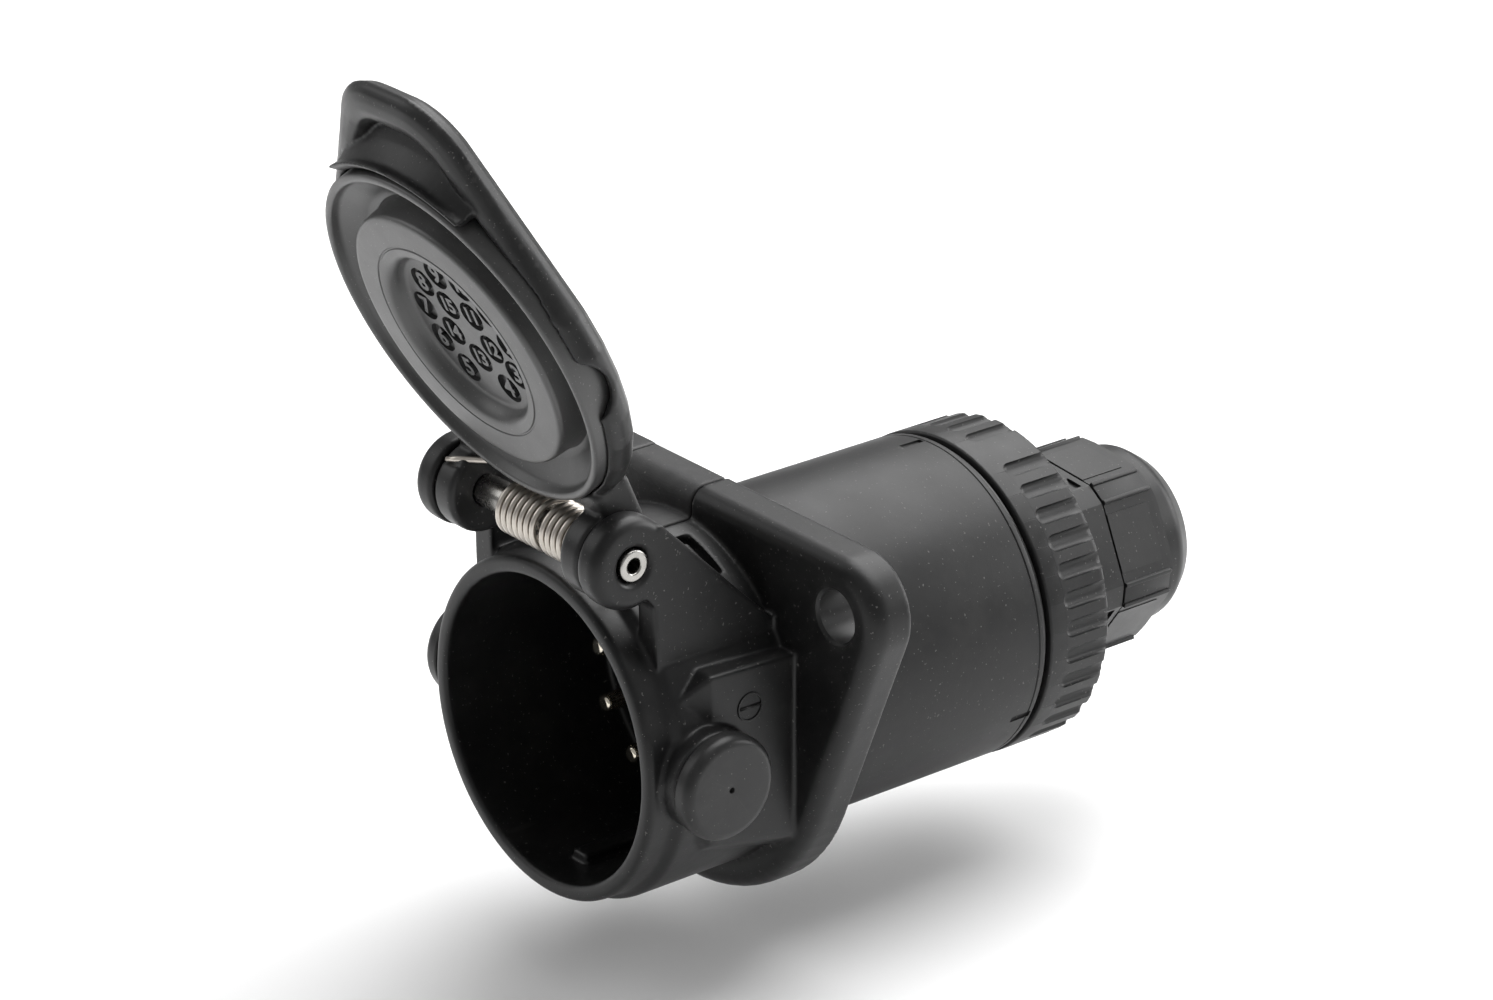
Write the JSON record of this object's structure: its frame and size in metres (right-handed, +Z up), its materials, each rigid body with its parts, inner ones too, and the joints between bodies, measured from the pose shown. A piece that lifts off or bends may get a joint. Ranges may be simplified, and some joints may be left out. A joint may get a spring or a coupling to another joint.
{
  "type": "trailer wiring socket",
  "caption": "Panel-mounted fifteen-pole trailer wiring socket with a sprung hinged lid, two-hole flange, closed rear barrel, fluted union ring and hexagonal cable gland.",
  "frame": {"origin": "on the socket's axis, at the back face of the fixing flange", "axes": "+X to the right seen from the plug's side, +Y from the mouth towards the cable gland, +Z up towards the lid's hinge"},
  "size_m": [0.1006, 0.1665, 0.1543],
  "materials": {
    "housing_plastic": "black glass-filled nylon, fine satin mould texture",
    "lid_plastic": "black glass-filled nylon, satin",
    "insert_plastic": "black glass-filled nylon, matt",
    "gasket_rubber": "dark grey moulded rubber, matt",
    "seal_rubber": "black rubber, slightly glossy",
    "contact_metal": "nickel-plated brass, bright",
    "spring_steel": "bright drawn stainless steel"
  },
  "bodies": {
    "socket": {"socket_housing": "housing_plastic", "flange_lock": "housing_plastic", "side_cap_left": "housing_plastic", "side_cap_right": "housing_plastic", "rear_barrel": "housing_plastic", "rear_cap": "housing_plastic", "contact_insert": "insert_plastic", "gland_claw": "insert_plastic", "insert_seal": "seal_rubber", "barrel_seal_ring": "seal_rubber", "gland_seal": "seal_rubber", "contact_01": "contact_metal", "terminal_screw_01": "spring_steel", "contact_02": "contact_metal", "terminal_screw_02": "spring_steel", "contact_03": "contact_metal", "terminal_screw_03": "spring_steel", "contact_04": "contact_metal", "terminal_screw_04": "spring_steel", "contact_05": "contact_metal", "terminal_screw_05": "spring_steel", "contact_06": "contact_metal", "terminal_screw_06": "spring_steel", "contact_07": "contact_metal", "terminal_screw_07": "spring_steel", "contact_08": "contact_metal", "terminal_screw_08": "spring_steel", "contact_09": "contact_metal", "terminal_screw_09": "spring_steel", "contact_10": "contact_metal", "terminal_screw_10": "spring_steel", "contact_11": "contact_metal", "terminal_screw_11": "spring_steel", "contact_12": "contact_metal", "terminal_screw_12": "spring_steel", "contact_13": "contact_metal", "terminal_screw_13": "spring_steel", "contact_14": "contact_metal", "terminal_screw_14": "spring_steel", "contact_15": "contact_metal", "terminal_screw_15": "spring_steel", "hinge_pin": "spring_steel", "torsion_spring": "spring_steel"},
    "lid": {"lid_shell": "lid_plastic", "lid_gasket": "gasket_rubber"},
    "ring": {"union_ring": "housing_plastic"},
    "nut": {"gland_nut": "housing_plastic"}
  },
  "joints": [
    {"name": "lid_hinge", "type": "hinge", "parent": "socket", "child": "lid", "pos_m": [0, -0.037, 0.0383], "axis": [1, 0, 0], "range_deg": [-12, 156.5], "deforming": ["torsion_spring"]},
    {"name": "union_turn", "type": "hinge", "parent": "socket", "child": "ring", "pos_m": [0, 0.0565, 0], "axis": [0, 1, 0], "range_deg": [0, 45]},
    {"name": "gland_nut_turn", "type": "hinge", "parent": "socket", "child": "nut", "pos_m": [0, 0.083, 0], "axis": [0, 1, 0], "range_deg": [0, 540]}
  ]
}
